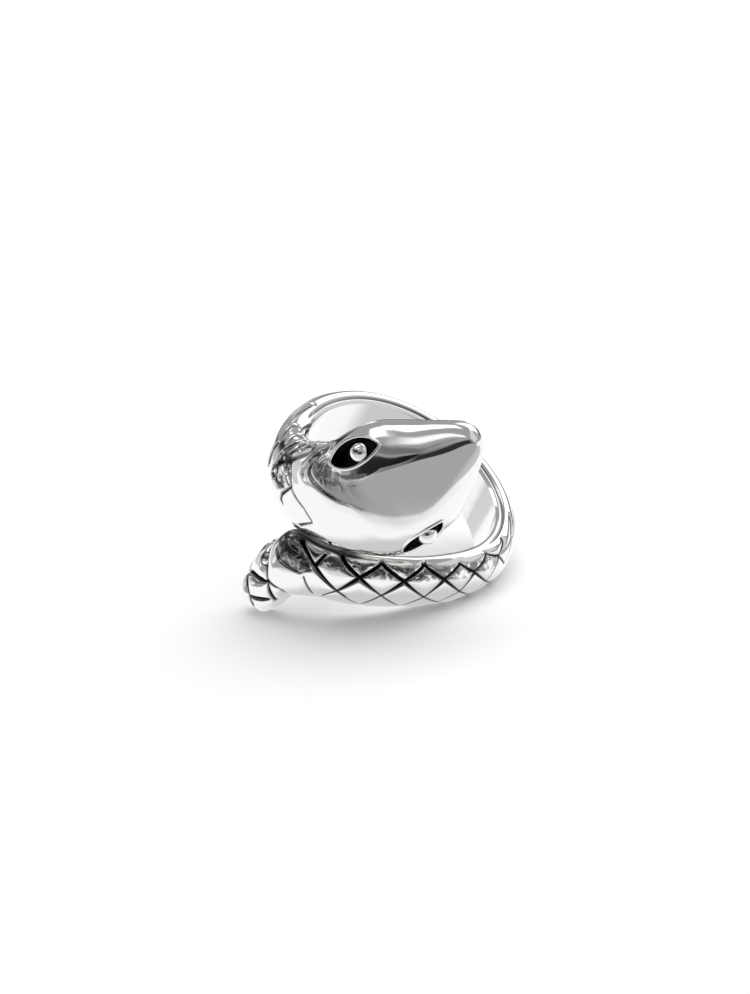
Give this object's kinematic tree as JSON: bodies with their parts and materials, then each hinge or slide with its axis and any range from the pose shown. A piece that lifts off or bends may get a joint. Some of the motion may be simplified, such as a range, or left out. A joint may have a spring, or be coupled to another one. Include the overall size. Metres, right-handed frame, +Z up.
{
  "type": "snake wrap ring",
  "caption": "Silver snake wrap ring with a flat head turned up along the finger, carved scales and a short tail, lying on its side.",
  "frame": {"origin": "bottom centre of the ring's bounding box, on the table it lies on", "axes": "+Z up, -Y towards the front of the head as pictured, +Y along the ring's longest extent as it lies"},
  "size_m": [0.0232, 0.0268, 0.0182],
  "materials": {
    "silver": "polished silver",
    "bead_silver": "polished silver"
  },
  "bodies": {
    "root": {"snake_ring": "silver", "eye_left": "bead_silver", "eye_right": "bead_silver"}
  },
  "joints": []
}
